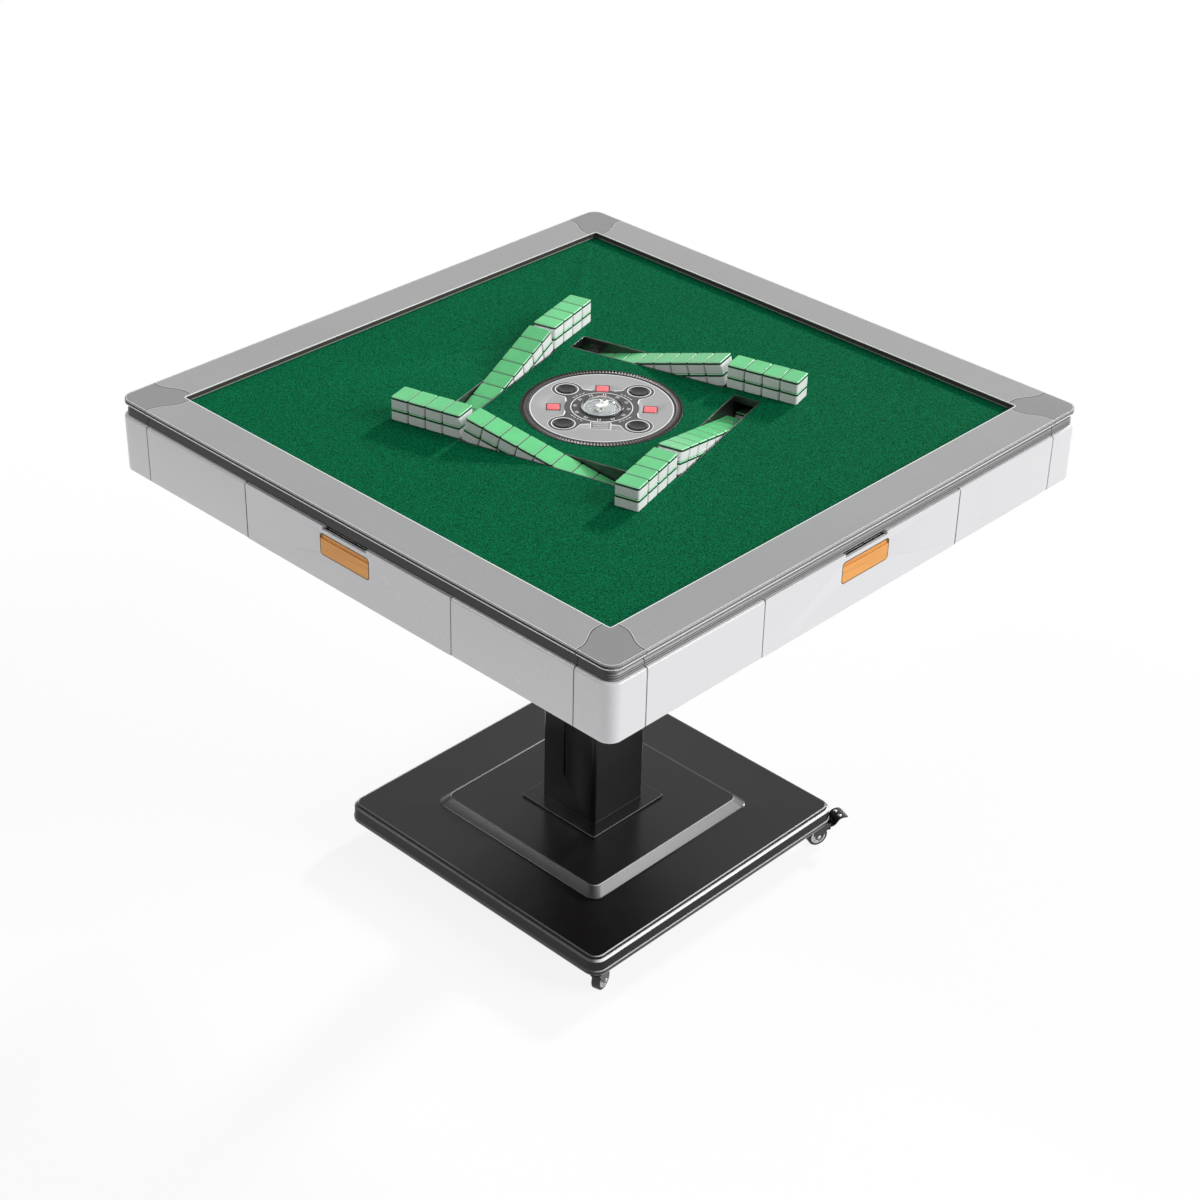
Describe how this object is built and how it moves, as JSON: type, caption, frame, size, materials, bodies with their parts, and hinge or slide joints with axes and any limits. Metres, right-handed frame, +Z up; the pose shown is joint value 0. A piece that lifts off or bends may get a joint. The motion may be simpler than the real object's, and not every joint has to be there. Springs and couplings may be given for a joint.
{
  "type": "automatic mahjong table with drawers",
  "caption": "Square automatic mahjong table on a column foot, with drawers in its apron, tile ramps rising through the cloth, a lifting dice unit and a castered base.",
  "frame": {"origin": "on the floor under the column's axis, at the middle of the table", "axes": "+Z up, +X and +Y along the table's sides; the pictured sides are -X and -Y"},
  "size_m": [0.943, 0.943, 0.7866],
  "materials": {
    "bezel_grey": "satin grey moulded bezel",
    "cap_grey": "satin grey corner caps",
    "neck_dark": "dark band",
    "apron_white": "white panels",
    "board_wood": "plain board",
    "felt_green": "green playing cloth",
    "tray_plastic": "moulded tray",
    "pull_wood": "tan grained inset",
    "tile_resin": "white tile with a light green back",
    "liner_alu": "brushed trough",
    "dark_plastic": "black moulding",
    "plate_grey": "light grey control plate",
    "ring_brown": "knurled ring",
    "button_black": "dished button",
    "lamp_red": "lamp lens",
    "dome_clear": "clear dome",
    "die_white": "dice",
    "frame_steel": "grey painted steel",
    "runner_steel": "steel runner",
    "bush_brass": "guide bush",
    "drive_rubber": "drive wheel",
    "foot_black": "black-brown satin powder coat",
    "fork_black": "black caster fork",
    "wheel_rubber": "caster wheel with a silver ring",
    "bolt_zinc": "zinc plated bolts"
  },
  "bodies": {
    "table": {"bezel_rails": "bezel_grey", "corner_caps": "cap_grey", "neck_trim": "neck_dark", "play_board": "board_wood", "felt_cloth": "felt_green", "slot_liners": "liner_alu", "apron_panels": "apron_white", "drawer_runners": "runner_steel", "wall_tiles": "tile_resin", "chassis_frame": "frame_steel", "floor_plate": "frame_steel", "belly_pan": "frame_steel", "guide_bush": "bush_brass", "drum_motor": "frame_steel", "control_box": "dark_plastic", "column": "foot_black", "base_cover": "foot_black", "bolts": "bolt_zinc"},
    "drawer_1": {"drawer_front_1": "apron_white", "drawer_tray_1": "tray_plastic", "drawer_pull_1": "pull_wood"},
    "drawer_2": {"drawer_front_2": "apron_white", "drawer_tray_2": "tray_plastic", "drawer_pull_2": "pull_wood"},
    "drawer_3": {"drawer_front_3": "apron_white", "drawer_tray_3": "tray_plastic", "drawer_pull_3": "pull_wood"},
    "drawer_4": {"drawer_front_4": "apron_white", "drawer_tray_4": "tray_plastic", "drawer_pull_4": "pull_wood"},
    "ramp_1": {"ramp_plate_1": "dark_plastic", "ramp_tiles_1": "tile_resin"},
    "ramp_2": {"ramp_plate_2": "dark_plastic", "ramp_tiles_2": "tile_resin"},
    "ramp_3": {"ramp_plate_3": "dark_plastic", "ramp_tiles_3": "tile_resin"},
    "ramp_4": {"ramp_plate_4": "dark_plastic", "ramp_tiles_4": "tile_resin"},
    "centre_unit": {"control_plate": "plate_grey", "knurled_ring": "ring_brown", "lift_housing": "dark_plastic", "lamp_lenses": "lamp_red", "dice_dome": "dome_clear"},
    "button_1": {"round_button_1": "button_black"},
    "button_2": {"round_button_2": "button_black"},
    "button_3": {"round_button_3": "button_black"},
    "button_4": {"round_button_4": "button_black"},
    "dice_turntable": {"dice_table": "dark_plastic", "dice": "die_white"},
    "drum": {"mixing_drum": "dark_plastic"},
    "drive": {"drive_wheel": "drive_rubber"},
    "fork_1": {"caster_fork_1": "fork_black"},
    "wheel_1": {"caster_wheel_1": "wheel_rubber"},
    "fork_2": {"caster_fork_2": "fork_black"},
    "wheel_2": {"caster_wheel_2": "wheel_rubber"},
    "fork_3": {"caster_fork_3": "fork_black"},
    "wheel_3": {"caster_wheel_3": "wheel_rubber"},
    "fork_4": {"caster_fork_4": "fork_black"},
    "wheel_4": {"caster_wheel_4": "wheel_rubber"},
    "brake": {"brake_pedal": "fork_black"}
  },
  "joints": [
    {"name": "drawer_slide_1", "type": "slide", "parent": "table", "child": "drawer_1", "axis": [-1, 0, 0], "range_m": [0, 0.12]},
    {"name": "drawer_slide_2", "type": "slide", "parent": "table", "child": "drawer_2", "axis": [0, -1, 0], "range_m": [0, 0.12]},
    {"name": "drawer_slide_3", "type": "slide", "parent": "table", "child": "drawer_3", "axis": [1, 0, 0], "range_m": [0, 0.12]},
    {"name": "drawer_slide_4", "type": "slide", "parent": "table", "child": "drawer_4", "axis": [0, 1, 0], "range_m": [0, 0.12]},
    {"name": "ramp_hinge_1", "type": "hinge", "parent": "table", "child": "ramp_1", "pos_m": [-0.18617, 0.06772, 0.7468], "axis": [-0.9648, -0.263, 0], "range_deg": [0, 14.57]},
    {"name": "ramp_hinge_2", "type": "hinge", "parent": "table", "child": "ramp_2", "pos_m": [-0.06772, -0.18617, 0.7468], "axis": [0.263, -0.9648, 0], "range_deg": [0, 14.57]},
    {"name": "ramp_hinge_3", "type": "hinge", "parent": "table", "child": "ramp_3", "pos_m": [0.18617, -0.06772, 0.7468], "axis": [0.9648, 0.263, 0], "range_deg": [0, 14.57]},
    {"name": "ramp_hinge_4", "type": "hinge", "parent": "table", "child": "ramp_4", "pos_m": [0.06772, 0.18617, 0.7468], "axis": [-0.263, 0.9648, 0], "range_deg": [0, 14.57]},
    {"name": "centre_lift", "type": "slide", "parent": "table", "child": "centre_unit", "axis": [0, 0, 1], "range_m": [0, 0.05]},
    {"name": "button_press_1", "type": "slide", "parent": "centre_unit", "child": "button_1", "axis": [0, 0, -1], "range_m": [0, 0.0015], "stiffness_N_per_m": 400, "springref_m": -0.001},
    {"name": "button_press_2", "type": "slide", "parent": "centre_unit", "child": "button_2", "axis": [0, 0, -1], "range_m": [0, 0.0015], "stiffness_N_per_m": 400, "springref_m": -0.001},
    {"name": "button_press_3", "type": "slide", "parent": "centre_unit", "child": "button_3", "axis": [0, 0, -1], "range_m": [0, 0.0015], "stiffness_N_per_m": 400, "springref_m": -0.001},
    {"name": "button_press_4", "type": "slide", "parent": "centre_unit", "child": "button_4", "axis": [0, 0, -1], "range_m": [0, 0.0015], "stiffness_N_per_m": 400, "springref_m": -0.001},
    {"name": "dice_spin", "type": "hinge", "parent": "centre_unit", "child": "dice_turntable", "pos_m": [0, 0, 0.74], "axis": [0, 0, 1], "continuous": true},
    {"name": "drum_spin", "type": "hinge", "parent": "table", "child": "drum", "pos_m": [0, 0, 0.68], "axis": [0, 0, 1], "continuous": true},
    {"name": "drive_spin", "type": "hinge", "parent": "table", "child": "drive", "pos_m": [0.09, 0, 0.657], "axis": [0, 0, 1], "continuous": true},
    {"name": "caster_swivel_1", "type": "hinge", "parent": "table", "child": "fork_1", "pos_m": [-0.214, -0.243, 0.045], "axis": [0, 0, 1], "continuous": true},
    {"name": "wheel_spin_1", "type": "hinge", "parent": "fork_1", "child": "wheel_1", "pos_m": [-0.23911, -0.24973, 0.0165], "axis": [0.2588, -0.9659, 0], "continuous": true},
    {"name": "caster_swivel_2", "type": "hinge", "parent": "table", "child": "fork_2", "pos_m": [0.214, -0.243, 0.045], "axis": [0, 0, 1], "continuous": true},
    {"name": "wheel_spin_2", "type": "hinge", "parent": "fork_2", "child": "wheel_2", "pos_m": [0.23843, -0.25189, 0.0165], "axis": [0.342, 0.9397, 0], "continuous": true},
    {"name": "caster_swivel_3", "type": "hinge", "parent": "table", "child": "fork_3", "pos_m": [0.214, 0.243, 0.045], "axis": [0, 0, 1], "continuous": true},
    {"name": "wheel_spin_3", "type": "hinge", "parent": "fork_3", "child": "wheel_3", "pos_m": [0.22289, 0.21857, 0.0165], "axis": [0.9397, 0.342, 0], "continuous": true},
    {"name": "caster_swivel_4", "type": "hinge", "parent": "table", "child": "fork_4", "pos_m": [-0.214, 0.243, 0.045], "axis": [0, 0, 1], "continuous": true},
    {"name": "wheel_spin_4", "type": "hinge", "parent": "fork_4", "child": "wheel_4", "pos_m": [-0.22499, 0.21944, 0.0165], "axis": [0.9063, -0.4226, 0], "continuous": true},
    {"name": "brake_press", "type": "hinge", "parent": "fork_2", "child": "brake", "pos_m": [0.25441, -0.25771, 0.029], "axis": [0.342, 0.9397, 0], "range_deg": [0, 14]}
  ],
  "couplings": [
    {"joint": "ramp_hinge_2", "follows": "ramp_hinge_1", "ratio": 1},
    {"joint": "ramp_hinge_3", "follows": "ramp_hinge_1", "ratio": 1},
    {"joint": "ramp_hinge_4", "follows": "ramp_hinge_1", "ratio": 1},
    {"joint": "drive_spin", "follows": "drum_spin", "ratio": 6.0167}
  ]
}
